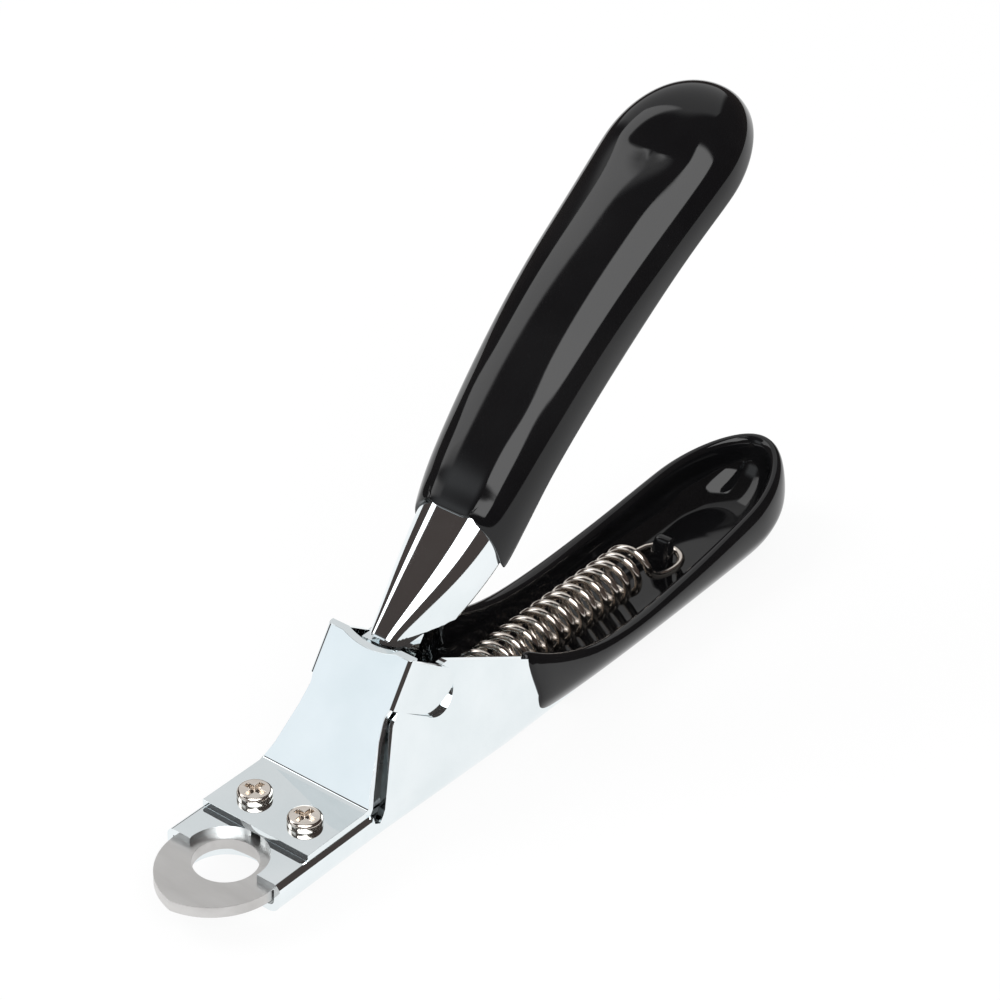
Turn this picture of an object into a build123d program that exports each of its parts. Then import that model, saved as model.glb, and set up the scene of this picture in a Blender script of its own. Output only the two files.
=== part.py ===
"""Guillotine pet nail trimmer, in millimetres.

X points forward out of the nose, Z up from the flat underside, and Y = 0 is the mirror plane.
The centre of the nail hole is at X = 0. The trimmer is open, with its return spring at rest.
"""
import os
from math import asin, cos, degrees, pi, radians, sin, sqrt, tan

from build123d import *

# sheet, fits and running clearances
sheet = 1.0
slide_gap = 0.06
pivot_gap = 0.08
coat = 0.9
inner_coat = 0.5

# nose of the lower handle
frame_half_width = 9.5
nose_front_x = 0.5
nose_height = 4.6
nose_rear_x = -17.6
rail_corner = 1.2
notch_radius = 5.7
flange_gap = 1.6

# guard ring
hole_radius = 4.3
ring_thickness = 1.6
ring_tip_x = 10.3
ring_rear_x = -15.5

# walls and trough of the lower handle
wall_lean = 0.25
lower_end_x = -121.0
lower_depth = 2.0
tab_x = -95.0

# bridge
pad_front_x = -5.5
pad_inset = 0.6
face_foot_x = -17.2
face_angle = 57.5
bridge_top_z = 22.3
cradle_half_width = 4.4
waist_inset = 3.3
ear_inset = 2.4
ear_length = 12.0
ear_start = 13.0
screw_x = -10.3
screw_y = 4.25
screw_radius = 1.25
head_radius = 2.35
head_height = 1.2

# upper handle: its crest arches a little above the straight line from the neck
pivot_x = -30.2
pivot_z = 17.8
lug_radius = 1.2
swing = 38.0
tongue_length = 14.2
tongue_half_width = 2.6
tongue_thickness = 1.2
tip_radius = 1.2
crest_x = -30.2
crest_z = 22.6
handle_angle = 40.0
upper_length = 87.0
upper_half_width = 9.1
upper_depth = 7.6
crest_arch = 3.1

# blade and slider
blade_thickness = 0.8
blade_half_width = 5.2
blade_front_x = -4.9
blade_rear_x = -37.0
slider_length = 11.0
slider_half_width = 6.6
lug_top_z = 5.8
peg_radius = 1.0

# spring
wire_radius = 0.6
coil_radius = 3.3
coil_turns = 15
coil_rear_x = -87.5
coil_front_x = -47.5
spring_axis_z = 4.1

grip_start_x = -52.6
upper_grip_start = 16.5

web_top = sheet
blade_bottom = web_top + slide_gap
blade_top = blade_bottom + blade_thickness
flange_bottom = nose_height - sheet
ring_bottom = flange_bottom - ring_thickness
pad_top = nose_height + sheet
inner_half_width = frame_half_width - sheet
pad_half_width = frame_half_width - pad_inset
waist_half_width = frame_half_width - waist_inset
ear_outer_y = frame_half_width - ear_inset
lean = radians(swing / 2)


def prism(points, half_width, plane=Plane.XZ):
    """Closed outline in the XZ plane, pushed the same distance to both sides."""
    return extrude(plane * make_face(Polyline(points, close=True)), half_width, both=True)


def box(x0, x1, y0, y1, z0, z1):
    centre = Pos((x0 + x1) / 2, (y0 + y1) / 2, (z0 + z1) / 2)
    return centre * Box(x1 - x0, y1 - y0, z1 - z0)


def cross_rod(x, z, radius, half_width):
    """Cylinder lying across the trimmer, along Y."""
    return Pos(x, 0, z) * Rot(90, 0, 0) * Cylinder(radius, 2 * half_width)


def lower_section(x, floor_z, half_width, corner):
    """Face across the lower handle, open upward."""
    across = Plane(origin=(x, 0, floor_z), x_dir=(0, 1, 0), z_dir=(1, 0, 0))
    outline = Pos(0, 13) * Rectangle(2 * half_width, 26)
    return across * fillet(outline.vertices().group_by(Axis.Y)[0], corner)


def lower_form(grow):
    """Outside of the lower handle's trough, grown or shrunk all over by grow."""
    bend = lower_depth
    stations = [
        (nose_front_x - grow, 0, 0, 2.0), (-20.0, 0, 0, 2.0), (-46.0, -0.6 * bend, 0, 2.6),
        (-64.0, -bend, 0, 4.2), (-85.0, -bend, 0, 4.6), (-100.0, -0.4 * bend, 0, 4.6),
    ]
    faces = [
        lower_section(x, floor - grow, frame_half_width + grow + wider, corner + grow)
        for x, floor, wider, corner in stations
    ]
    end_length = -100.0 - lower_end_x + grow
    for step in (0.3, 0.55, 0.75, 0.88, 0.96, 0.99):
        shrink = sqrt(1 - step ** 2.4)
        floor = -0.4 * bend + 7.0 * (1 - sqrt(1 - step ** 2)) - grow
        half_width = (frame_half_width + grow) * shrink
        faces.append(lower_section(-100.0 - step * end_length, floor, half_width, (4.6 + grow) * shrink))
    body = loft(faces, ruled=True)
    top_half = frame_half_width + grow - wall_lean * (26 - nose_height)
    side = frame_half_width + grow
    lean_outline = make_face(Polyline(
        (-side, -20), (side, -20), (side, nose_height), (top_half, 26), (-top_half, 26),
        (-side, nose_height), close=True))
    return body & extrude(Plane.YZ * lean_outline, 140, both=True)


def below_rim(rise):
    """Everything under the top edge of the lower handle's walls."""
    rim = [
        (nose_front_x + 20, -10), (nose_front_x + 20, nose_height), (nose_rear_x, nose_height),
        (nose_rear_x - 0.4, nose_height - 1.2), (nose_rear_x - 1.4, nose_height - 1.7),
        (-19.6, nose_height - 0.8), (-24.2, 14.2), (-25.2, 15.2), (-27.0, 17.6), (-36.3, 17.7 + rise),
        (-51.9, 10.4 + rise), (-64.0, 4.9 + rise), (-69.0, 3.7 + rise), (-74.0, 3.5 + rise),
        (-82.0, 4.2 + rise), (-92.0, 5.2 + rise), (-104.0, 6.9 + rise),
        (lower_end_x - 6, 9.2 + rise), (lower_end_x - 6, -10),
    ]
    return prism(rim, 20)


def side_point(up_face, behind):
    """Point in the side view: a distance up the bridge's steep face, and square behind it."""
    angle = radians(face_angle)
    return (
        face_foot_x - up_face * cos(angle) - behind * sin(angle),
        nose_height + sheet + up_face * sin(angle) - behind * cos(angle),
    )


def ear_outline(grow):
    """Side view of a folded-back ear, with a round rear end."""
    face_length = (bridge_top_z - nose_height - sheet) / sin(radians(face_angle))
    radius = (face_length - ear_start) / 2
    middle = ear_start + radius
    centre = side_point(middle, ear_length - radius)
    radius += grow
    strip = prism([
        side_point(middle - radius, 0), side_point(middle + radius, 0),
        side_point(middle + radius, ear_length - radius + grow),
        side_point(middle - radius, ear_length - radius + grow),
    ], frame_half_width + 5)
    return strip + cross_rod(centre[0], centre[1], radius, frame_half_width + 5)


def dipped(limit_x):
    """Region behind the bowed edge of the lower vinyl coat."""
    edge = make_face(
        ThreePointArc((limit_x + 2.4, 14.5), (limit_x - 1.0, 5.0), (limit_x - 0.2, -3.0))
        + Polyline((limit_x - 0.2, -3.0), (-140, -3.0), (-140, 30), (limit_x + 2.4, 30), (limit_x + 2.4, 14.5))
    )
    return extrude(Plane.XZ * edge, 20, both=True)


# lower handle: a trough, with flanges folded in over the nose
walls = (lower_form(0) - lower_form(-sheet)) & below_rim(0)
walls -= ear_outline(0.03)
flange_edges = box(nose_rear_x, nose_front_x, -inner_half_width, inner_half_width, flange_bottom, nose_height)
flange_edges -= box(nose_rear_x - 1, nose_front_x + 1, -flange_gap / 2, flange_gap / 2, 0, 10)
lower_handle = walls + flange_edges
for side in (-1, 1):
    centre_y = side * (frame_half_width - rail_corner)
    sliver = box(nose_rear_x, nose_front_x + 1, min(centre_y, side * 20), max(centre_y, side * 20),
                 nose_height - rail_corner, nose_height + 0.01)
    sliver -= Pos(0, centre_y, nose_height - rail_corner) * Rot(0, 90, 0) * Cylinder(rail_corner, 60)
    lower_handle -= sliver
lower_handle -= Cylinder(notch_radius, 20)
for side in (-1, 1):
    lower_handle -= Pos(screw_x, side * screw_y, nose_height) * Cylinder(screw_radius, 2 * sheet + 1)
# the lanced tab that anchors the spring leans back from the floor
tab_lean = prism([(tab_x, -1.0), (tab_x + 1.2, -1.0), (tab_x - 0.4, 5.0), (tab_x - 1.6, 5.0)], 2.0)
lower_handle += tab_lean

# vinyl coat on the lower handle
coat_outside = lower_form(coat)
coat_inside = lower_form(-sheet - inner_coat)
lower_grip = (coat_outside - coat_inside) & below_rim(coat) & dipped(grip_start_x)
tab_coat = prism([(tab_x - 0.7, -1.2), (tab_x + 1.9, -1.2), (tab_x + 0.2, 5.5), (tab_x - 2.2, 5.5)], 2.5)
lower_grip += tab_coat
lower_grip -= lower_handle

# guard ring: pointed front, tail under the flanges
arch_half_width = inner_half_width - 0.2
reach = ring_tip_x - nose_front_x
arch_radius = (reach ** 2 + arch_half_width ** 2) / (2 * arch_half_width)
half_turn = asin(reach / arch_radius) / 2
mid_x = nose_front_x + arch_radius * sin(half_turn)
mid_y = arch_half_width - arch_radius * (1 - cos(half_turn))
outline = make_face(
    ThreePointArc((nose_front_x, arch_half_width), (mid_x, mid_y), (ring_tip_x, 0))
    + ThreePointArc((ring_tip_x, 0), (mid_x, -mid_y), (nose_front_x, -arch_half_width))
    + Polyline((nose_front_x, -arch_half_width), (ring_rear_x, -arch_half_width),
               (ring_rear_x, arch_half_width), (nose_front_x, arch_half_width))
)
guard_ring = extrude(Pos(0, 0, ring_bottom) * outline, ring_thickness)
guard_ring -= Cylinder(hole_radius, 20)
for side in (-1, 1):
    guard_ring -= Pos(screw_x, side * screw_y, flange_bottom) * Cylinder(screw_radius, 2 * ring_thickness + 1)

# bridge: pad, steep face, and ears folded back into the scallops
slope = tan(radians(face_angle))
fold = sheet * tan(radians(face_angle) / 2)
rise = bridge_top_z - pad_top
top_x = face_foot_x - rise / slope
thick_x = sheet / sin(radians(face_angle))
profile = [
    (pad_front_x, nose_height), (pad_front_x, pad_top), (face_foot_x, pad_top),
    (top_x, bridge_top_z), (top_x - thick_x, bridge_top_z), (face_foot_x - fold, nose_height),
]
panel = prism(profile, frame_half_width)
face_length = rise / sin(radians(face_angle))
face_plane = Plane(origin=(face_foot_x, 0, pad_top), x_dir=(0, 1, 0), z_dir=(slope, 0, 1))
half_outline = [
    (pad_half_width, -1.0), (pad_half_width, 0.3), (pad_half_width - 0.8, 2.5),
    (waist_half_width + 0.5, 8.5), (waist_half_width, ear_start - 1.2), (waist_half_width + 0.2, ear_start),
    (ear_outer_y, ear_start), (ear_outer_y, face_length + 3),
]
outline = half_outline + [(-y, up) for y, up in reversed(half_outline)]
face_shape = extrude(face_plane * make_face(Polyline(outline, close=True)), 2.5, both=True)
keep_pad = box(face_foot_x - 0.01, pad_front_x, -pad_half_width, pad_half_width, 0, 30)
ears = ear_outline(0) & box(-60, 0, -ear_outer_y, ear_outer_y, 0, bridge_top_z)
ears -= box(-60, 0, -ear_outer_y + sheet, ear_outer_y - sheet, 0, 60)
fulcrum_bridge = (panel & (keep_pad + (face_shape & box(-60, face_foot_x, -20, 20, 0, 60)))) + ears
dip_radius = 14.0
dip_height = bridge_top_z + sqrt(dip_radius ** 2 - cradle_half_width ** 2)
fulcrum_bridge -= Pos(top_x, 0, dip_height) * Rot(0, 90, 0) * Cylinder(dip_radius, 12)
fulcrum_bridge -= cross_rod(pivot_x, pivot_z, lug_radius + pivot_gap, ear_outer_y - 0.4)
for side in (-1, 1):
    fulcrum_bridge -= Pos(screw_x, side * screw_y, pad_top) * Cylinder(screw_radius, 2 * sheet + 1)


def bridge_screw(side):
    """Cheese-head screw, domed a little, with a cross recess."""
    length = pad_top - ring_bottom - 0.05
    shank = Pos(0, 0, pad_top - length / 2) * Cylinder(screw_radius, length)
    head = Pos(0, 0, pad_top + head_height / 2) * Cylinder(head_radius, head_height)
    head = fillet(head.edges().group_by(Axis.Z)[-1], 0.5)
    recess = Box(3.0, 0.75, 1.6) + Box(0.75, 3.0, 1.6)
    head -= Pos(0, 0, pad_top + head_height) * recess
    return Pos(screw_x, side * screw_y, 0) * (shank + head)


# upper handle, built in sections square to its straight crest
back = radians(handle_angle)
crest_start = (crest_x, 0, crest_z)
along = (-cos(back), 0, sin(back))


def section(distance, half_width, depth, corner, drop):
    """Face across the upper handle; drop is how far its back lies under the crest line."""
    origin = (
        crest_x + distance * along[0] - drop * sin(back),
        0,
        crest_z + distance * along[2] - drop * cos(back),
    )
    across = Plane(origin=origin, x_dir=(0, 1, 0), z_dir=along)
    outline = Pos(0, (depth - drop) / 2) * Rectangle(2 * half_width, depth - drop)
    return across * fillet(outline.vertices().group_by(Axis.Y)[0], corner)


def upper_form(grow, deeper):
    """Outside of the upper handle, grown or shrunk all over by grow."""
    wide, tall, arch = upper_half_width, upper_depth, crest_arch
    stations = [
        (3.0, 0.467, 2.4, 0, tall), (9.0, 0.6, 3.0, 0, tall), (17.0, 0.735, 3.8, 0.06 * arch, 0.9 * tall),
        (24.0, 0.8, 4.0, 0.36 * arch, 0.6 * tall), (34.0, 0.86, 4.2, 0.72 * arch, 0.34 * tall),
        (41.0, 0.885, 4.5, 0.93 * arch, 0.33 * tall), (48.0, 0.91, 4.6, arch, 0.33 * tall),
        (55.0, 0.94, 4.6, 0.93 * arch, 0.34 * tall), (62.0, 0.97, 4.6, 0.76 * arch, 0.38 * tall),
        (70.0, 1.0, 4.4, 0.5 * arch, 0.5 * tall),
    ]
    faces = [
        section(distance, share * wide + grow, depth + deeper, corner + grow, -grow - raised)
        for distance, share, corner, raised, depth in stations
    ]
    end_length = upper_length - 70.0 + grow
    for step in (0.3, 0.55, 0.75, 0.88, 0.96, 0.99):
        shrink = sqrt(1 - step ** 2.8)
        drop = -grow - 0.5 * arch + 4.4 * (1 - sqrt(1 - step ** 2))
        depth = (0.5 + 0.26 * step) * tall + deeper
        faces.append(section(70.0 + step * end_length, (wide + grow) * shrink, depth,
                             (4.4 + grow) * shrink, drop))
    return loft(faces, ruled=True)


channel = upper_form(0, 0) - upper_form(-sheet, 4)
wall_cut = prism([(-10, 21.9), (-46, 21.9), (-46, 0), (-10, 0)], 20)
channel -= wall_cut
neck_top = (crest_x + 5 * along[0], crest_z + 5 * along[2])
neck = prism([
    (crest_x + 0.3, crest_z - 0.2), (crest_x + 0.4, pivot_z - 1.4), (crest_x - 1.8, pivot_z - 2.0),
    (crest_x - 5.6, 21.2), neck_top,
], 2.9)
tongue_reach = tongue_length + tip_radius * 0.2
tongue = Pos(0, 0, -tongue_reach / 2) * Box(tongue_thickness, 2 * tongue_half_width, tongue_reach)
tongue += Pos(0, 0, -tongue_length) * Rot(90, 0, 0) * Cylinder(tip_radius, 2 * tongue_half_width)
tongue = Pos(pivot_x, 0, pivot_z) * Rot(0, degrees(lean), 0) * tongue
upper_handle = channel + neck + tongue
upper_handle += cross_rod(pivot_x, pivot_z, lug_radius, ear_outer_y - 0.46)

# vinyl coat on the upper handle
coat_plane = section(upper_grip_start, 20, 30, 1.0, -10)
upper_grip = upper_form(coat, coat) - upper_form(-sheet - coat, 6)
upper_grip &= extrude(coat_plane, 120, dir=along)
upper_grip -= upper_handle

# blade and the slider riveted on its tail
blade_plan = make_face(
    Polyline((blade_front_x + 1.1, blade_half_width), (blade_rear_x, blade_half_width),
             (blade_rear_x, -blade_half_width), (blade_front_x + 1.1, -blade_half_width))
    + ThreePointArc((blade_front_x + 1.1, -blade_half_width), (blade_front_x, 0),
                    (blade_front_x + 1.1, blade_half_width))
)
cutting_blade = extrude(Pos(0, 0, blade_bottom) * blade_plan, blade_thickness)
tip_x = pivot_x - tongue_length * sin(lean)
slider_front = tip_x + slider_length / 2 - 0.6
slider_rear = slider_front - slider_length
peg_y = 3.4
slider = box(slider_rear, slider_front, -slider_half_width, slider_half_width, blade_top, lug_top_z)
slot_half = tip_radius + 0.15
slot = box(tip_x - slot_half, tip_x + slot_half, -3.0, 3.0, blade_top + 0.3, 20)
slider -= slot
for front, rear in ((slider_front + 1, tip_x + slot_half + 1.1), (tip_x - slot_half - 1.1, slider_rear - 1)):
    slider -= box(rear, front, -20, 20, 3.4, 20)
for side in (-1, 1):
    slider -= box(-60, 0, 3.9 * side if side > 0 else -20, 20 if side > 0 else -3.9, 3.4, 20)
for side in (-1, 1):
    peg = Pos(slider_front - 1.8, side * peg_y, (blade_bottom + blade_top) / 2)
    slider += peg * Cylinder(peg_radius, blade_thickness)
    cutting_blade -= peg * Cylinder(peg_radius + 0.03, 3)

# spring: hook down through the slider, open coils, hook round the lanced tab
hook_x = slider_rear + 1.6
slider -= Pos(hook_x, 0, blade_top) * Cylinder(wire_radius + 0.12, 8)
loop_z = 2.0
loop_x = tab_x - 0.2
wire_line = [
    (loop_x + 3.4, -3.3, loop_z), (loop_x + 0.6, -3.7, loop_z), (loop_x - 2.2, -2.7, loop_z),
    (loop_x - 3.4, 0, loop_z), (loop_x - 2.2, 2.7, loop_z), (loop_x + 0.6, 3.7, loop_z),
    (coil_rear_x - 2.6, coil_radius + 0.3, loop_z + 0.6),
]
steps = 12 * coil_turns
for step in range(steps + 1):
    turn = 2 * pi * step / 12
    wire_line.append((
        coil_rear_x + (coil_front_x - coil_rear_x) * step / steps,
        coil_radius * cos(turn),
        spring_axis_z + coil_radius * sin(turn),
    ))
wire_line += [
    (coil_front_x + 1.4, coil_radius - 0.7, spring_axis_z + 1.8), (coil_front_x + 3.2, 0.6, spring_axis_z + 1.2),
    (hook_x - 1.2, 0, spring_axis_z + 0.7), (hook_x - 0.1, 0, spring_axis_z + 0.1),
    (hook_x, 0, blade_top + 1.2), (hook_x, 0, blade_top + 0.15),
]
spring_path = Spline(*wire_line)
wire_end = Plane(origin=spring_path @ 0, z_dir=spring_path % 0)
return_spring = sweep(wire_end * Circle(wire_radius), path=spring_path)

parts = {
    "lower_handle": lower_handle,
    "lower_grip": lower_grip,
    "upper_handle": upper_handle,
    "upper_grip": upper_grip,
    "fulcrum_bridge": fulcrum_bridge,
    "bridge_screw_left": bridge_screw(-1),
    "bridge_screw_right": bridge_screw(1),
    "guard_ring": guard_ring,
    "blade_slider": slider,
    "cutting_blade": cutting_blade,
    "return_spring": return_spring,
}

os.makedirs("parts", exist_ok=True)
for name, solid in parts.items():
    bodies = solid.solids()
    print(name, len(bodies), "solid", round(sum(b.volume for b in bodies), 1), "mm3", solid.bounding_box())
    export_step(bodies[0] if len(bodies) == 1 else Compound(bodies), f"parts/{name}.step")
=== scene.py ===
import bpy
import bmesh
import math
from mathutils import Matrix, Vector


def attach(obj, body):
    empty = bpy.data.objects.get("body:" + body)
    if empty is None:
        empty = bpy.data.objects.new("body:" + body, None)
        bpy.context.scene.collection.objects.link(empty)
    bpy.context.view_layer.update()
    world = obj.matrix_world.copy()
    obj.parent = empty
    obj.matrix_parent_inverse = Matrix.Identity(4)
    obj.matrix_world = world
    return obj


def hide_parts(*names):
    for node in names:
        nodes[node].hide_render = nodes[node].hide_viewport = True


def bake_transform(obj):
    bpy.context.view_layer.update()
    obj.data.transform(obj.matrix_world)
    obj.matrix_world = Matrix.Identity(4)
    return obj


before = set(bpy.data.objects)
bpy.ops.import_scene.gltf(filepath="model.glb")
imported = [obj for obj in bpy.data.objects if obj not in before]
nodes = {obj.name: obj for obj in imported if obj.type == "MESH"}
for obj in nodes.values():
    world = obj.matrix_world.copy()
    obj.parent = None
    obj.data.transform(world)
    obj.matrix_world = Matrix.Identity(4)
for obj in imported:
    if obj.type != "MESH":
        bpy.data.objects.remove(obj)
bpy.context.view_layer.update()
mm = 0.001
smoothBelow = 32  # degrees; sheet edges sharper than this stay crisp


# helpers that stand in for the mouse
def freshStart():
    if bpy.context.mode != "OBJECT":
        bpy.ops.object.mode_set(mode="OBJECT")
    bpy.ops.object.select_all(action="DESELECT")


def activate(piece):
    freshStart()
    piece.select_set(True)
    bpy.context.view_layer.objects.active = piece


def pickVerts(piece, wanted):
    # vertex select mode, only the ones the test likes
    mesh = bmesh.from_edit_mesh(piece.data)
    for vert in mesh.verts:
        vert.select = bool(wanted(vert.co))
    mesh.select_mode = {"VERT"}
    mesh.select_flush_mode()
    bmesh.update_edit_mesh(piece.data)


def useModifier(piece, kind, **values):
    activate(piece)
    modifier = piece.modifiers.new(kind.title(), kind)
    for key, value in values.items():
        setattr(modifier, key, value)
    bpy.ops.object.modifier_apply(modifier=modifier.name)


# materials
def blankMaterial(name):
    material = bpy.data.materials.new(name)
    material.use_nodes = True
    return material, material.node_tree.nodes, material.node_tree.links


def finishMaterial(name, look):
    # colour, roughness and a fine bump, all from noise on object coordinates
    material, tree, links = blankMaterial(name)
    shader = tree["Principled BSDF"]
    place = tree.new("ShaderNodeTexCoord")
    stretch = tree.new("ShaderNodeMapping")
    stretch.inputs["Scale"].default_value = look.get("stretch", (1, 1, 1))
    links.new(place.outputs["Object"], stretch.inputs["Vector"])

    cloud = tree.new("ShaderNodeTexNoise")
    cloud.inputs["Scale"].default_value = look["cloudScale"]
    cloud.inputs["Detail"].default_value = 4
    links.new(stretch.outputs["Vector"], cloud.inputs["Vector"])
    ramp = tree.new("ShaderNodeValToRGB")
    ramp.color_ramp.elements[0].position = 0.35
    ramp.color_ramp.elements[0].color = (*look["dark"], 1)
    ramp.color_ramp.elements[1].position = 0.65
    ramp.color_ramp.elements[1].color = (*look["light"], 1)
    links.new(cloud.outputs["Fac"], ramp.inputs["Fac"])

    grain = tree.new("ShaderNodeTexNoise")
    grain.inputs["Scale"].default_value = look["grainScale"]
    grain.inputs["Detail"].default_value = 3
    links.new(stretch.outputs["Vector"], grain.inputs["Vector"])
    rub = tree.new("ShaderNodeMapRange")
    rub.inputs["From Min"].default_value = 0.3
    rub.inputs["From Max"].default_value = 0.7
    rub.inputs["To Min"].default_value = look["roughness"][0]
    rub.inputs["To Max"].default_value = look["roughness"][1]
    links.new(grain.outputs["Fac"], rub.inputs["Value"])
    links.new(rub.outputs["Result"], shader.inputs["Roughness"])

    links.new(ramp.outputs["Color"], shader.inputs["Base Color"])

    bump = tree.new("ShaderNodeBump")
    bump.inputs["Strength"].default_value = look["bump"]
    bump.inputs["Distance"].default_value = look.get("bumpDepth", 0.0001)
    links.new(grain.outputs["Fac"], bump.inputs["Height"])
    links.new(bump.outputs["Normal"], shader.inputs["Normal"])

    shader.inputs["Metallic"].default_value = look.get("metallic", 0)
    shader.inputs["Specular IOR Level"].default_value = look.get("specular", 0.5)
    return material


chromeLook = {
    "dark": (0.80, 0.86, 0.88), "light": (0.86, 0.91, 0.93), "cloudScale": 90, "grainScale": 420,
    "roughness": (0.035, 0.07), "bump": 0.03, "metallic": 1,
}
vinylLook = {
    "dark": (0.0035, 0.0035, 0.004), "light": (0.006, 0.006, 0.0065), "cloudScale": 60, "grainScale": 260,
    "roughness": (0.05, 0.08), "bump": 0.03, "specular": 0.36,
}
nickelLook = {
    "dark": (0.66, 0.60, 0.54), "light": (0.80, 0.74, 0.68), "cloudScale": 200, "grainScale": 900,
    "roughness": (0.10, 0.20), "bump": 0.05, "metallic": 1,
}
steelLook = {
    "dark": (0.56, 0.55, 0.54), "light": (0.68, 0.67, 0.66), "cloudScale": 160, "grainScale": 1500,
    "roughness": (0.28, 0.42), "bump": 0.12, "metallic": 1, "stretch": (1, 0.25, 1),
}
chrome = finishMaterial("chromePlate", chromeLook)
vinyl = finishMaterial("blackVinyl", vinylLook)
nickel = finishMaterial("nickelPlate", nickelLook)
satin = finishMaterial("satinSteel", steelLook)
print("materials made")


def dress(piece, material):
    piece.data.materials.clear()
    piece.data.materials.append(material)


for name, material in (
    ("lower_handle", chrome), ("upper_handle", chrome), ("fulcrum_bridge", chrome),
    ("lower_grip", vinyl), ("upper_grip", vinyl),
    ("bridge_screw_left", nickel), ("bridge_screw_right", nickel), ("return_spring", nickel),
    ("guard_ring", satin), ("cutting_blade", satin), ("blade_slider", satin),
):
    for slot in nodes[name].material_slots:
        slot.material = material


# trough shapes: both grips and the chrome neck
def troughShell(name, look):
    # an open U across X, wide end first; the outside of its floor is at z = 0
    freshStart()
    bpy.ops.mesh.primitive_plane_add(size=2 * mm, rotation=(0, math.pi / 2, 0))
    piece = bpy.context.object
    piece.name = name
    bpy.ops.object.transform_apply(rotation=True)
    wide, tall = look["halfWidth"], look["height"]
    bpy.ops.object.mode_set(mode="EDIT")
    bpy.ops.mesh.select_all(action="SELECT")
    bpy.ops.transform.resize(value=(1, wide, tall / 2), center_override=(0, 0, 0))
    bpy.ops.transform.translate(value=(look["endX"] * mm, 0, tall / 2 * mm))
    bpy.ops.mesh.delete(type="ONLY_FACE")
    mesh = bmesh.from_edit_mesh(piece.data)
    for edge in mesh.edges:
        edge.select = all(vert.co.z > tall * 0.9 * mm for vert in edge.verts)
    bmesh.update_edit_mesh(piece.data)
    bpy.ops.mesh.delete(type="EDGE")
    pickVerts(piece, lambda co: co.z < 0.1 * mm)
    bpy.ops.mesh.bevel(offset=look["corner"] * mm, segments=look["cornerSteps"], profile=look["cornerShape"],
                       affect="VERTICES")
    mesh = bmesh.from_edit_mesh(piece.data)
    for edge in mesh.edges:
        edge.select = all(vert.co.z < 0.01 * mm for vert in edge.verts)
    bmesh.update_edit_mesh(piece.data)
    bpy.ops.mesh.subdivide(number_cuts=3)
    # round end: half of the U is spun about the upright line through its middle
    if look.get("endStretch"):
        pickVerts(piece, lambda co: co.y > -0.01 * mm)
        bpy.ops.mesh.spin(steps=18, angle=math.pi, center=(look["endX"] * mm, 0, 0), axis=(0, 0, 1))
        pickVerts(piece, lambda co: True)
        bpy.ops.mesh.remove_doubles(threshold=0.005 * mm)
        mesh = bmesh.from_edit_mesh(piece.data)
        spunForward = any(vert.co.x > (look["endX"] + 1) * mm for vert in mesh.verts)
        if spunForward:
            pickVerts(piece, lambda co: co.x > (look["endX"] + 0.01) * mm)
            bpy.ops.transform.resize(value=(-1, 1, 1), center_override=(look["endX"] * mm, 0, 0))
        pickVerts(piece, lambda co: co.x < (look["endX"] - 0.01) * mm)
        bpy.ops.transform.resize(value=(look["endStretch"], 1, 1), center_override=(look["endX"] * mm, 0, 0))
    # long body: the open ring is drawn forward station by station
    pickVerts(piece, lambda co: abs(co.x - look["endX"] * mm) < 0.01 * mm)
    lastX, lastWide, lastFloor = look["endX"], wide, 0.0
    for x, halfWidth, floorZ in look["stations"]:
        bpy.ops.mesh.extrude_edges_move(
            TRANSFORM_OT_translate={"value": ((x - lastX) * mm, 0, (floorZ - lastFloor) * mm)})
        bpy.ops.transform.resize(value=(1, halfWidth / lastWide, 1), center_override=(x * mm, 0, 0))
        lastX, lastWide, lastFloor = x, halfWidth, floorZ
    return piece


def heightAt(line, x):
    for (x0, z0), (x1, z1) in zip(line, line[1:]):
        if x0 >= x >= x1:
            return z0 + (z1 - z0) * (x0 - x) / (x0 - x1)
    return line[0][1] if x > line[0][0] else line[-1][1]


def shapeRim(piece, look):
    # each pair of rim points is lifted or lowered to the rim line; no edge runs above the corner arcs
    mesh = bmesh.from_edit_mesh(piece.data)
    rims = {}
    for vert in mesh.verts:
        if all(vert.co.z >= other.co.z + 0.5 * mm or abs(other.co.z - vert.co.z) < 0.9 * mm and other.co.z > 0
               for edge in vert.link_edges for other in [edge.other_vert(vert)]) and vert.is_boundary \
                and vert.co.z > look["corner"] * 0.8 * mm:
            rims.setdefault(round(vert.co.x / mm, 2), []).append(vert.index)
    for x, members in rims.items():
        mesh = bmesh.from_edit_mesh(piece.data)
        mesh.verts.ensure_lookup_table()
        now = mesh.verts[members[0]].co.z / mm
        wanted = set(members)
        for vert in mesh.verts:
            vert.select = vert.index in wanted
        mesh.select_flush_mode()
        bmesh.update_edit_mesh(piece.data)
        height = heightAt(look["rim"], x)
        bpy.ops.transform.translate(value=(0, 0, (height - now) * mm))
        inward = look.get("lean", 0) * max(0, height - look.get("leanFrom", 0))
        bpy.ops.transform.resize(value=(1, 1 - inward / look["halfWidth"], 1), center_override=(0, 0, 0))


def liftEnd(piece, look):
    # the floor climbs towards the tip like a spoon
    start, tip, climb = look["liftFrom"], look["liftTo"], look["lift"]
    steps = sorted({round(vert.co.x / mm, 2) for vert in bmesh.from_edit_mesh(piece.data).verts
                    if vert.co.x / mm < start})
    for x in steps:
        share = min(1, (start - x) / (start - tip))
        pickVerts(piece, lambda co: abs(co.x / mm - x) < 0.006)
        bpy.ops.transform.translate(value=(0, 0, climb * (1 - math.sqrt(max(0, 1 - share ** 2))) * mm))


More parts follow.
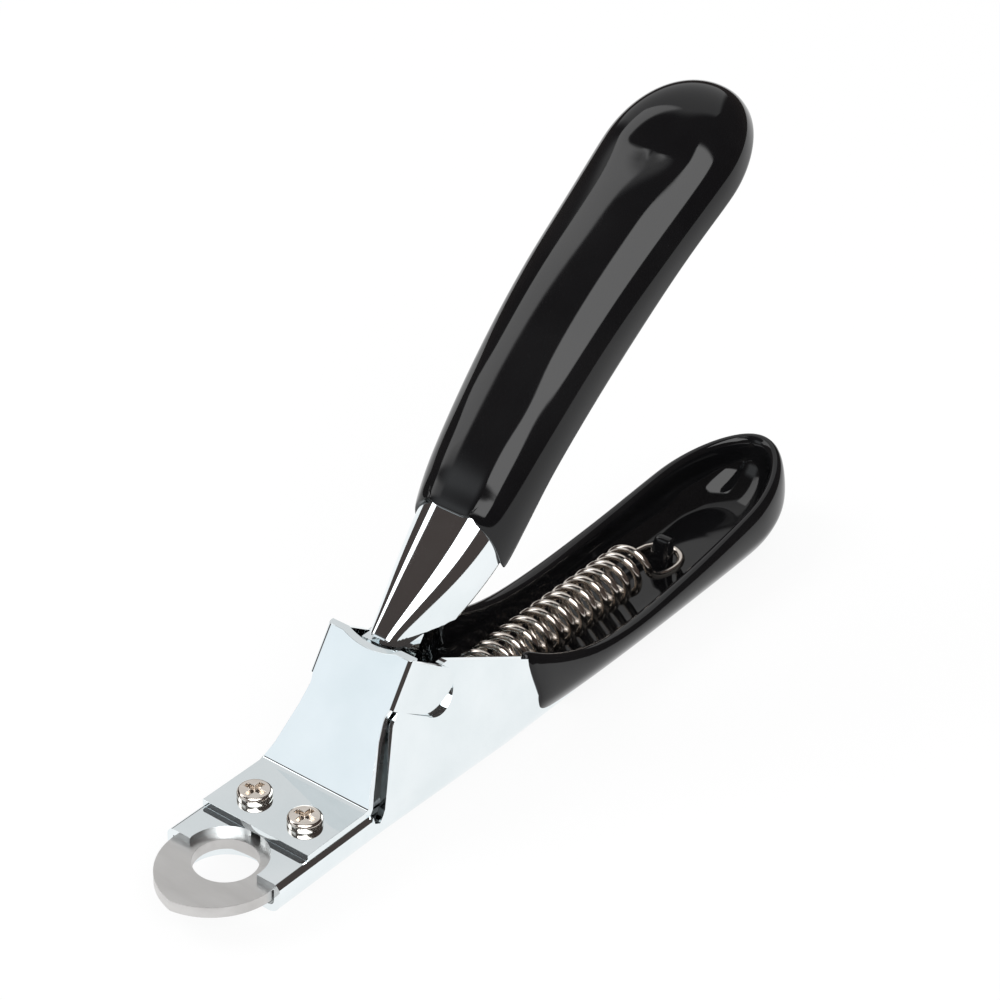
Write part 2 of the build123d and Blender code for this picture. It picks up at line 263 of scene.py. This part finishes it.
def bowFront(piece, look):
    # the dipped edge is not square: the crest stops short and the rim comes forward
    fromX, atFloor, atRim, top = look["bow"]
    heights = sorted({round(vert.co.z / mm, 2) for vert in bmesh.from_edit_mesh(piece.data).verts
                      if vert.co.x / mm > fromX})
    for z in heights:
        share = max(0, min(1, z / top))
        pickVerts(piece, lambda co: co.x / mm > fromX and abs(co.z / mm - z) < 0.006)
        bpy.ops.transform.translate(value=((atFloor + (atRim - atFloor) * share) * mm, 0, 0))


def domeCrest(piece, look):
    # the flat of the crest is drawn outward a little, most along its middle
    reach = look["domeHalfWidth"]
    across = sorted({round(abs(vert.co.y) / mm, 2) for vert in bmesh.from_edit_mesh(piece.data).verts
                     if abs(vert.co.y) < reach * mm})
    for y in across:
        pickVerts(piece, lambda co: abs(abs(co.y) / mm - y) < 0.006 and co.z < look["domeFloor"] * mm
                  and co.x > look["domeFromX"] * mm)
        bpy.ops.transform.translate(value=(0, 0, -look["dome"] * (1 - (y / reach) ** 2) * mm))


def thicken(piece, thickness, levels):
    bpy.ops.mesh.select_all(action="SELECT")
    bpy.ops.mesh.remove_doubles(threshold=0.005 * mm)
    bpy.ops.mesh.normals_make_consistent(inside=False)
    mesh = bmesh.from_edit_mesh(piece.data)
    lowest = min(mesh.faces, key=lambda face: face.calc_center_median().z + abs(face.calc_center_median().y))
    if lowest.normal.z > 0:
        bpy.ops.mesh.flip_normals()
    bpy.ops.object.mode_set(mode="OBJECT")
    useModifier(piece, "SOLIDIFY", thickness=thickness * mm, offset=-1, use_even_offset=True)
    useModifier(piece, "SUBSURF", levels=levels, render_levels=levels)
    activate(piece)
    bpy.ops.object.shade_smooth()


crest = {"x": -30.2, "z": 22.6, "slope": 40}


def layOnCrest(piece):
    # turned over and tilted up along the handle's crest
    piece.rotation_euler = (math.pi, math.radians(crest["slope"]), 0)
    piece.location = (crest["x"] * mm, 0, crest["z"] * mm)
    activate(piece)
    bpy.ops.object.transform_apply(location=True, rotation=True)


upperGripLook = {
    "halfWidth": 10.45, "height": 8.0, "corner": 6.5, "cornerSteps": 9, "cornerShape": 0.56,
    "endX": -73.8, "endStretch": 1.46, "wall": 2.2,
    "stations": [(-68, 10.15, -0.6), (-62, 9.85, -1.3), (-55, 9.6, -2.1), (-48, 9.3, -2.4), (-41, 9.0, -2.2),
                 (-34, 8.7, -1.6), (-28, 8.35, -0.9), (-23.5, 8.1, -0.15), (-19.6, 7.8, 0.55), (-17.6, 7.4, 0.95),
                 (-16.8, 7.15, 1.2), (-16.5, 6.95, 1.4)],
    "rim": [(-15, 9.9), (-17, 9.5), (-20, 8.1), (-24, 6.9), (-28, 5.8), (-33, 5.25), (-42, 5.3), (-54, 5.5),
            (-61, 5.6), (-66, 5.9), (-72, 6.9), (-77, 8.0), (-90, 9.9)],
    "liftFrom": -72.0, "liftTo": -89.0, "lift": 3.0, "bow": (-20.5, -1.9, 1.0, 8.5),
    "dome": 0.7, "domeHalfWidth": 6.5, "domeFloor": 3.4, "domeFromX": -69, "settle": -1.65,
}
upperGrip = troughShell("upperGrip", upperGripLook)
liftEnd(upperGrip, upperGripLook)
shapeRim(upperGrip, upperGripLook)
bowFront(upperGrip, upperGripLook)
domeCrest(upperGrip, upperGripLook)
bpy.ops.mesh.select_all(action="SELECT")
bpy.ops.transform.translate(value=(0, 0, upperGripLook["settle"] * mm))
thicken(upperGrip, upperGripLook["wall"], 2)
layOnCrest(upperGrip)
dress(upperGrip, vinyl)
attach(upperGrip, "lever")
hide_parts("upper_grip")
print("upper grip dipped")

lowerGripLook = {
    "halfWidth": 10.35, "height": 9.0, "corner": 6.0, "cornerSteps": 8, "cornerShape": 0.46,
    "endX": -105.9, "endStretch": 1.60, "wall": 2.4,
    "stations": [(-99, 10.35, -0.2), (-92, 10.35, -0.4), (-85, 10.35, -0.6), (-76, 10.4, -0.7),
                 (-66, 10.4, -0.7), (-58, 10.4, -0.4), (-54.5, 10.35, -0.2), (-53.2, 10.1, 0.1), (-52.6, 9.75, 0.6)],
    "rim": [(-51.9, 13.6), (-58, 10.3), (-64, 7.7), (-69, 6.6), (-74, 6.4), (-82, 7.1), (-92, 8.1), (-104, 9.8),
            (-122, 12.9)],
    "liftFrom": -102.0, "liftTo": -122.5, "lift": 4.0, "lean": 0.25, "leanFrom": 6.35,
    "settle": -1.75, "lipFromX": -52.7, "lipAbove": 8.0, "lipMove": (2.0, 0.9),
}
lowerGrip = troughShell("lowerGrip", lowerGripLook)
liftEnd(lowerGrip, lowerGripLook)
shapeRim(lowerGrip, lowerGripLook)
bpy.ops.mesh.select_all(action="SELECT")
bpy.ops.transform.translate(value=(0, 0, lowerGripLook["settle"] * mm))
pickVerts(lowerGrip, lambda co: co.x > lowerGripLook["lipFromX"] * mm and co.z > lowerGripLook["lipAbove"] * mm)
lipForward, lipUp = lowerGripLook["lipMove"]
bpy.ops.transform.translate(value=(lipForward * mm, 0, lipUp * mm))
thicken(lowerGrip, lowerGripLook["wall"], 2)
# the lanced tab that holds the spring is dipped too
tabLook = {"place": (-94.9, 0, 2.1), "size": (2.2, 4.2, 6.0), "headShare": (0.75, 0.7), "headZ": 5, "headBack": -1.3,
           "edge": 0.6}
tabPlace = [value * mm for value in tabLook["place"]]
freshStart()
bpy.ops.mesh.primitive_cube_add(size=1 * mm, location=tabPlace)
dippedTab = bpy.context.object
bpy.ops.object.mode_set(mode="EDIT")
bpy.ops.mesh.select_all(action="SELECT")
bpy.ops.transform.resize(value=tabLook["size"], center_override=tabPlace)
pickVerts(dippedTab, lambda co: co.z > 0)
bpy.ops.transform.resize(value=(*tabLook["headShare"], 1),
                         center_override=(tabPlace[0], 0, tabLook["headZ"] * mm))
bpy.ops.transform.translate(value=(tabLook["headBack"] * mm, 0, 0))
bpy.ops.object.mode_set(mode="OBJECT")
useModifier(dippedTab, "BEVEL", width=tabLook["edge"] * mm, segments=3, limit_method="ANGLE")
useModifier(dippedTab, "SUBSURF", levels=1, render_levels=1)
activate(dippedTab)
bpy.ops.object.transform_apply(location=True)
bpy.ops.object.shade_smooth()
lowerGrip.select_set(True)
bpy.context.view_layer.objects.active = lowerGrip
bpy.ops.object.join()
dress(lowerGrip, vinyl)
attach(lowerGrip, "frame")
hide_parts("lower_grip")
print("lower grip dipped")

# sheet metal and small parts: each node copied, merged and given rounded edges
def softenedCopy(nodeName, pieceName, look):
    freshStart()
    source = nodes[nodeName]
    piece = bpy.data.objects.new(pieceName, source.data.copy())
    bpy.context.scene.collection.objects.link(piece)
    activate(piece)
    if bpy.ops.mesh.customdata_custom_splitnormals_clear.poll():
        bpy.ops.mesh.customdata_custom_splitnormals_clear()
    bpy.ops.object.mode_set(mode="EDIT")
    bpy.ops.mesh.select_all(action="SELECT")
    bpy.ops.mesh.remove_doubles(threshold=0.0005 * mm)
    for spot, normal in look.get("cuts", []):
        bpy.ops.mesh.select_all(action="SELECT")
        bpy.ops.mesh.bisect(plane_co=[v * mm for v in spot], plane_no=normal, clear_outer=True, use_fill=True)
    bpy.ops.mesh.select_all(action="SELECT")
    bpy.ops.mesh.dissolve_limited(angle_limit=math.radians(look.get("flat", 1.0)))
    bpy.ops.mesh.normals_make_consistent(inside=False)
    for isFold, radius in look.get("folds", []):
        mesh = bmesh.from_edit_mesh(piece.data)
        bpy.ops.mesh.select_all(action="DESELECT")
        mesh.select_mode = {"EDGE"}
        for edge in mesh.edges:
            edge.select = all(isFold(vert.co / mm) for vert in edge.verts)
        bmesh.update_edit_mesh(piece.data)
        bpy.ops.mesh.bevel(offset=radius * mm, segments=5, affect="EDGES")
    bpy.ops.object.mode_set(mode="OBJECT")
    useModifier(piece, "BEVEL", width=look["edge"] * mm, segments=look.get("rounds", 2), limit_method="ANGLE",
                angle_limit=math.radians(30), harden_normals=False)
    activate(piece)
    bpy.ops.object.shade_smooth_by_angle(angle=math.radians(smoothBelow))
    useModifier(piece, "WEIGHTED_NORMAL", keep_sharp=True, weight=90)
    return piece


def putOn(piece, material, body, slotName, *nodeNames):
    dress(piece, material)
    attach(piece, body)
    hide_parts(*nodeNames)


bridgeLook = {"footX": -17.2, "footZ": 5.6, "faceAngle": 57.5, "earEdgeY": 7.1, "earFromZ": 13, "earFold": 0.75,
              "footFold": 0.8}
faceTilt = math.radians(bridgeLook["faceAngle"])


def onFace(co):
    return abs((co.x - bridgeLook["footX"]) * math.sin(faceTilt)
               + (co.z - bridgeLook["footZ"]) * math.cos(faceTilt)) < 0.03


def onEarEdge(co):
    return onFace(co) and abs(abs(co.y) - bridgeLook["earEdgeY"]) < 0.05 and co.z > bridgeLook["earFromZ"]


def onFoot(co):
    return abs(co.x - bridgeLook["footX"]) < 0.02 and abs(co.z - bridgeLook["footZ"]) < 0.02


bridgeSheet = softenedCopy("fulcrum_bridge", "bridgeSheet", {
    "edge": 0.14, "rounds": 3, "flat": 0.6,
    "folds": [(onEarEdge, bridgeLook["earFold"]), (onFoot, bridgeLook["footFold"])]})
putOn(bridgeSheet, chrome, "frame", "chrome_plate", "fulcrum_bridge")
lowerSheet = softenedCopy("lower_handle", "lowerSheet", {
    "edge": 0.14, "rounds": 3, "flat": 0.6, "cuts": [((-62, 0, 0), (-1, 0, 0))]})
putOn(lowerSheet, chrome, "frame", "chrome_plate", "lower_handle")
guardPlate = softenedCopy("guard_ring", "guardPlate", {"edge": 0.13})
putOn(guardPlate, satin, "frame", "satin_steel", "guard_ring")
for side in ("left", "right"):
    screw = softenedCopy("bridge_screw_" + side, "screw" + side.title(), {"edge": 0.10, "rounds": 3})
    putOn(screw, nickel, "frame", "nickel", "bridge_screw_" + side)
sliderBlock = softenedCopy("blade_slider", "sliderBlock", {"edge": 0.12})
putOn(sliderBlock, satin, "blade", "satin_steel", "blade_slider")
bladePlate = softenedCopy("cutting_blade", "bladePlate", {"edge": 0.05})
putOn(bladePlate, satin, "blade", "satin_steel", "cutting_blade")
print("sheet metal softened")

# chrome neck of the upper handle
neckLook = {
    "halfWidth": 7.5, "height": 9.6, "corner": 5.2, "cornerSteps": 9, "cornerShape": 0.5, "endX": -26.0,
    "stations": [(-22, 7.1, 0.7), (-17, 6.7, 1.15), (-13, 6.2, 1.35), (-9, 5.45, 1.4),
                 (-6, 4.7, 1.4), (-3, 3.9, 1.4), (-1, 3.35, 1.4), (0.4, 3.05, 1.45), (1.3, 2.95, 1.6)],
    "rim": [(1, 9.0), (-17, 8.5), (-20, 7.4), (-24, 6.0), (-30, 5.2)],
    "wall": 1.0, "settle": -1.4, "trimBelowZ": 21.9, "tongueFrom": 2.9, "tongueTopZ": 20.9,
}
neck = troughShell("upperNeck", neckLook)
shapeRim(neck, neckLook)
bpy.ops.mesh.select_all(action="SELECT")
bpy.ops.transform.translate(value=(0, 0, neckLook["settle"] * mm))
thicken(neck, neckLook["wall"], 2)
layOnCrest(neck)
activate(neck)
bpy.ops.object.mode_set(mode="EDIT")
bpy.ops.mesh.select_all(action="SELECT")
bpy.ops.mesh.bisect(plane_co=(0, 0, neckLook["trimBelowZ"] * mm), plane_no=(0, 0, -1), clear_outer=True,
                    use_fill=True)
bpy.ops.object.mode_set(mode="OBJECT")
# the tongue and lugs below it come from the node, cut off where the neck takes over
slope = math.radians(crest["slope"])
cutSpot = (crest["x"] - neckLook["tongueFrom"] * math.cos(slope), 0,
           crest["z"] + neckLook["tongueFrom"] * math.sin(slope))
tongue = softenedCopy("upper_handle", "tongue", {"edge": 0.12, "cuts": [
    (cutSpot, (-math.cos(slope), 0, math.sin(slope))), ((0, 0, neckLook["tongueTopZ"]), (0, 0, 1))]})
activate(tongue)
neck.select_set(True)
bpy.context.view_layer.objects.active = neck
bpy.ops.object.join()
bpy.ops.object.shade_smooth_by_angle(angle=math.radians(smoothBelow))
putOn(neck, chrome, "lever", "chrome_plate", "upper_handle")
print("upper neck pressed")

# return spring: one bevelled curve, hook to hook
springLook = {
    "coil": 3.3, "wire": 0.6, "turns": 15, "stepsPerTurn": 16, "rear": -87.5, "front": -47.5, "axisZ": 4.1,
    "fillOut": 1.025,  # the smooth line runs a little inside its points
    "rearHook": [(-91.8, -3.3, 2.0), (-94.6, -3.7, 2.0), (-97.4, -2.7, 2.0), (-98.6, 0, 2.0), (-97.4, 2.7, 2.0),
                 (-94.6, 3.7, 2.0), (-90.1, 3.6, 2.6)],
    "frontHook": [(-46.1, 2.6, 5.9), (-44.3, 0.6, 5.3), (-40.5, 0, 4.8), (-39.4, 0, 4.2), (-39.32, 0, 3.1),
                  (-39.32, 0, 2.05)],
    "stretchTo": -41.5,
}
freshStart()
bpy.ops.curve.primitive_nurbs_path_add()
springLine = bpy.context.object
springLine.name = "returnSpring"
curve = springLine.data
curve.splines.clear()
points = list(springLook["rearHook"])
lastStep = springLook["stepsPerTurn"] * springLook["turns"]
reach = springLook["coil"] * springLook["fillOut"]
for step in range(lastStep + 1):
    turn = 2 * math.pi * step / springLook["stepsPerTurn"]
    along = springLook["rear"] + (springLook["front"] - springLook["rear"]) * step / lastStep
    points.append((along, reach * math.cos(turn), springLook["axisZ"] + reach * math.sin(turn)))
points += springLook["frontHook"]
line = curve.splines.new("NURBS")
line.points.add(len(points) - 1)
for point, place in zip(line.points, points):
    point.co = (place[0] * mm, place[1] * mm, place[2] * mm, 1)
line.order_u = 4
line.use_endpoint_u = True
line.resolution_u = 3
curve.bevel_depth = springLook["wire"] * mm
curve.bevel_resolution = 4
curve.use_fill_caps = True
activate(springLine)
bpy.ops.object.convert(target="MESH")
bpy.ops.object.shade_smooth()
spring = bpy.context.object
dress(spring, nickel)
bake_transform(spring)
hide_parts("return_spring")
print("spring wound,", len(spring.data.polygons), "faces")

# studio
def seenDirectly(tree, links):
    # 1 for what is looked at, mirrored or seen through; 0 for light that only falls on things
    seen = tree.new("ShaderNodeLightPath")
    either = tree.new("ShaderNodeMath")
    either.operation = "MAXIMUM"
    anySeen = tree.new("ShaderNodeMath")
    anySeen.operation = "MAXIMUM"
    links.new(seen.outputs["Is Camera Ray"], either.inputs[0])
    links.new(seen.outputs["Is Glossy Ray"], either.inputs[1])
    links.new(either.outputs[0], anySeen.inputs[0])
    links.new(seen.outputs["Is Transmission Ray"], anySeen.inputs[1])
    return anySeen


floorLook = {"size": 3.0, "drop": -0.00255, "white": 0.8, "glow": 0.9}
freshStart()
bpy.ops.mesh.primitive_plane_add(size=floorLook["size"], location=(0, 0, floorLook["drop"]))
floor = bpy.context.object
floor.name = "studioFloor"
floorPaper, tree, links = blankMaterial("floorPaper")
paper = tree["Principled BSDF"]
paper.inputs["Base Color"].default_value = (floorLook["white"],) * 3 + (1,)
paper.inputs["Roughness"].default_value = 1.0
paper.inputs["Specular IOR Level"].default_value = 0.0
anySeen = seenDirectly(tree, links)
glow = tree.new("ShaderNodeEmission")
glow.inputs["Strength"].default_value = 1.0
blendIn = tree.new("ShaderNodeMixShader")
share = tree.new("ShaderNodeMath")
share.operation = "MULTIPLY"
share.inputs[1].default_value = floorLook["glow"]
links.new(anySeen.outputs[0], share.inputs[0])
links.new(share.outputs[0], blendIn.inputs[0])
links.new(paper.outputs[0], blendIn.inputs[1])
links.new(glow.outputs[0], blendIn.inputs[2])
links.new(blendIn.outputs[0], tree["Material Output"].inputs["Surface"])
dress(floor, floorPaper)

world = bpy.data.worlds.new("studioWorld")
bpy.context.scene.world = world
world.use_nodes = True
tree, links = world.node_tree.nodes, world.node_tree.links
plain = tree["Background"]
plain.inputs["Color"].default_value = (1, 1, 1, 1)
plain.inputs["Strength"].default_value = 0.9
white = tree.new("ShaderNodeBackground")
white.inputs["Strength"].default_value = 1.0
anySeen = seenDirectly(tree, links)
pick = tree.new("ShaderNodeMixShader")
links.new(anySeen.outputs[0], pick.inputs[0])
links.new(plain.outputs[0], pick.inputs[1])
links.new(white.outputs[0], pick.inputs[2])
links.new(pick.outputs[0], tree["World Output"].inputs["Surface"])


def glossOnly(card):
    card.visible_camera = False
    card.visible_diffuse = False
    card.visible_transmission = False
    card.visible_shadow = False


# dark tent over the table, seen only in reflections
tentLook = {"radius": 1.45, "cloth": (0.004, 0.004, 0.004, 1), "glow": (1, 0.80, 0.74, 1), "strength": 0.06}
freshStart()
bpy.ops.mesh.primitive_uv_sphere_add(segments=32, ring_count=16, radius=tentLook["radius"])
tent = bpy.context.object
tent.name = "studioTent"
bpy.ops.object.mode_set(mode="EDIT")
pickVerts(tent, lambda co: co.z < -0.02)
bpy.ops.mesh.delete(type="VERT")
bpy.ops.object.mode_set(mode="OBJECT")
tentCloth, tree, links = blankMaterial("tentCloth")
cloth = tree["Principled BSDF"]
cloth.inputs["Base Color"].default_value = tentLook["cloth"]
cloth.inputs["Specular IOR Level"].default_value = 0.0
cloth.inputs["Emission Color"].default_value = tentLook["glow"]
cloth.inputs["Emission Strength"].default_value = tentLook["strength"]
dress(tent, tentCloth)
glossOnly(tent)


def softCard(name, toward, distance, across, lengthwise, strength, soft, longWay, tint=(1, 1, 1)):
    # a lit card, bright in its middle and fading over its outer part
    direction = Vector(toward).normalized()
    freshStart()
    bpy.ops.mesh.primitive_plane_add(size=1)
    card = bpy.context.object
    card.name = name
    upWay = (longWay - direction * longWay.dot(direction)).normalized()
    sideWay = upWay.cross(direction)
    turn = Matrix((sideWay, upWay, direction)).transposed().to_4x4()
    card.matrix_world = Matrix.Translation(direction * distance) @ turn @ Matrix.Diagonal((across, lengthwise, 1, 1))
    paint, tree, links = blankMaterial(name + "Paper")
    tree.remove(tree["Principled BSDF"])
    lit = tree.new("ShaderNodeEmission")
    lit.inputs["Color"].default_value = (*tint, 1)
    place = tree.new("ShaderNodeTexCoord")
    apart = tree.new("ShaderNodeSeparateXYZ")
    links.new(place.outputs["Object"], apart.inputs[0])
    sides = []
    for axis in ("X", "Y"):
        size = tree.new("ShaderNodeMath")
        size.operation = "ABSOLUTE"
        fade = tree.new("ShaderNodeMapRange")
        fade.interpolation_type = "SMOOTHSTEP"
        fade.inputs["From Min"].default_value = 0.5
        fade.inputs["From Max"].default_value = 0.5 - soft
        links.new(apart.outputs[axis], size.inputs[0])
        links.new(size.outputs[0], fade.inputs["Value"])
        sides.append(fade)
    both = tree.new("ShaderNodeMath")
    both.operation = "MULTIPLY"
    links.new(sides[0].outputs["Result"], both.inputs[0])
    links.new(sides[1].outputs["Result"], both.inputs[1])
    power = tree.new("ShaderNodeMath")
    power.operation = "MULTIPLY"
    power.inputs[1].default_value = strength
    links.new(both.outputs[0], power.inputs[0])
    clear = tree.new("ShaderNodeBsdfTransparent")
    mix = tree.new("ShaderNodeMixShader")
    links.new(power.outputs[0], lit.inputs["Strength"])
    links.new(both.outputs[0], mix.inputs[0])
    links.new(clear.outputs[0], mix.inputs[1])
    links.new(lit.outputs[0], mix.inputs[2])
    links.new(mix.outputs[0], tree["Material Output"].inputs["Surface"])
    dress(card, paint)
    glossOnly(card)


# name, toward, distance, across, along, strength, softness, long way, tint
crestLine = Vector((-0.766, 0, 0.643))
softCard("crestCard", (0.22, -0.70, 0.68), 1.2, 0.42, 1.3, 2.4, 0.12, crestLine)
softCard("shoulderCard", (0.44, 0.33, 0.83), 1.2, 1.3, 1.3, 3.8, 0.08, crestLine)
softCard("padCard", (-0.52, -0.50, 0.69), 1.2, 1.5, 1.5, 0.75, 0.12, crestLine)
softCard("faceCard", (0.80, -0.48, 0.38), 1.15, 1.0, 1.0, 1.0, 0.35, Vector((0, 1, 0)), (0.93, 0.97, 1.0))

lampList = [
    # name, place, aim, size across, size along, watts
    ("keyLamp", (0.35, -0.60, 0.80), (-0.05, 0, 0.04), 0.50, 0.50, 4.0),
    ("sideLamp", (0.35, 0.65, 0.70), (-0.05, 0, 0.04), 0.50, 0.50, 4.0),
]
for lampName, place, aim, across, lengthwise, watts in lampList:
    lampData = bpy.data.lights.new(lampName, "AREA")
    lampData.shape = "RECTANGLE"
    lampData.size = across
    lampData.size_y = lengthwise
    lampData.energy = watts
    lamp = bpy.data.objects.new(lampName, lampData)
    lamp.visible_glossy = False
    bpy.context.scene.collection.objects.link(lamp)
    look = Vector(aim) - Vector(place)
    lamp.matrix_world = Matrix.Translation(place) @ look.to_track_quat("-Z", "Y").to_matrix().to_4x4()

cameraData = bpy.data.cameras.new("camera")
cameraData.lens = 108
cameraData.sensor_width = 36
cameraData.clip_start = 0.01
camera = bpy.data.objects.new("camera", cameraData)
bpy.context.scene.collection.objects.link(camera)
camera.matrix_world = Matrix((
    (-0.61102, -0.40227, 0.68178, 0.21792),
    (0.79086, -0.34777, 0.50358, 0.20152),
    (0.03453, 0.84689, 0.53063, 0.24339),
    (0, 0, 0, 1),
))
bpy.context.scene.camera = camera
bpy.context.scene.view_settings.view_transform = "Standard"
print("studio ready")
